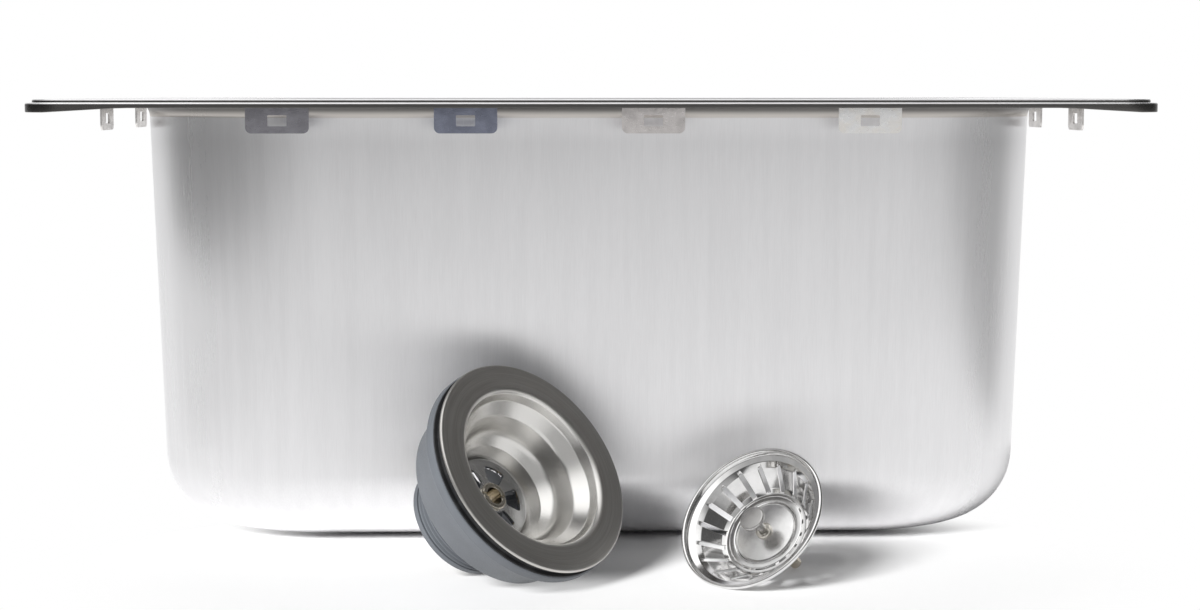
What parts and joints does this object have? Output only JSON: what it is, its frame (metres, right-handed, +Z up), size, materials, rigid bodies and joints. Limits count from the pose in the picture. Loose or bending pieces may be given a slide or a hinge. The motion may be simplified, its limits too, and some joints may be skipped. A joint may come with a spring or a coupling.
{
  "type": "laundry tub",
  "caption": "Drop-in stainless laundry tub with a deep bowl, slotted fixing tabs under its flat rim, and its basket waste and strainer basket lying loose in front.",
  "frame": {"origin": "middle of the drain hole at the level that the tub stands on", "axes": "+X to the right along the rim, -Y towards the front where the loose pieces lie, +Z up out of the bowl"},
  "size_m": [0.572, 0.553, 0.236],
  "materials": {
    "tub_steel": "brushed upright",
    "tab_steel": "satin",
    "flange_steel": "brushed in rings",
    "grid_chrome": "polished",
    "screw_nickel": "nickel plated",
    "insert_brass": "machined",
    "seal_rubber": "matt",
    "body_plastic": "moulded",
    "basket_steel": "polished",
    "disc_steel": "polished",
    "bush_brass": "nickel plated",
    "knob_chrome": "satin head, polished post",
    "plug_rubber": "matt",
    "washer_steel": "plain",
    "stem_brass": "nickel plated"
  },
  "bodies": {
    "tub": {"tub_bowl": "tub_steel", "front_tab_1": "tab_steel", "front_tab_2": "tab_steel", "front_tab_3": "tab_steel", "front_tab_4": "tab_steel", "back_tab_1": "tab_steel", "back_tab_2": "tab_steel", "back_tab_3": "tab_steel", "back_tab_4": "tab_steel", "left_tab_1": "tab_steel", "left_tab_2": "tab_steel", "left_tab_3": "tab_steel", "right_tab_1": "tab_steel", "right_tab_2": "tab_steel", "right_tab_3": "tab_steel"},
    "waste": {"waste_body": "body_plastic", "thread_insert": "insert_brass", "body_seal": "seal_rubber"},
    "flange": {"strainer_bowl": "flange_steel", "strainer_grid": "grid_chrome", "flange_seal": "seal_rubber"},
    "screw": {"clamp_screw": "screw_nickel"},
    "basket": {"basket_shell": "basket_steel", "centre_disc": "disc_steel", "hub_bush": "bush_brass"},
    "plug": {"knob": "knob_chrome", "plug_seal": "plug_rubber", "seal_washer": "washer_steel", "plug_stem": "stem_brass", "grip_ring": "plug_rubber"}
  },
  "joints": [
    {"name": "waste_lift", "type": "slide", "parent": "tub", "child": "waste", "axis": [0, -0.5, 0.866], "range_m": [0, 0.3]},
    {"name": "flange_travel", "type": "slide", "parent": "waste", "child": "flange", "axis": [0.6211, -0.5573, 0.5511], "range_m": [0, 0.007]},
    {"name": "screw_turn", "type": "hinge", "parent": "flange", "child": "screw", "pos_m": [-0.05001, -0.25382, 0.04035], "axis": [0.6211, -0.5573, 0.5511], "range_deg": [0, 1440]},
    {"name": "basket_lift", "type": "slide", "parent": "tub", "child": "basket", "axis": [0, -0.5, 0.866], "range_m": [0, 0.3]},
    {"name": "plug_travel", "type": "slide", "parent": "basket", "child": "plug", "axis": [0.5329, 0.5939, -0.6027], "range_m": [0, 0.004]}
  ],
  "couplings": [
    {"joint": "screw_turn", "follows": "flange_travel", "rad_per_m": 3590.4}
  ]
}
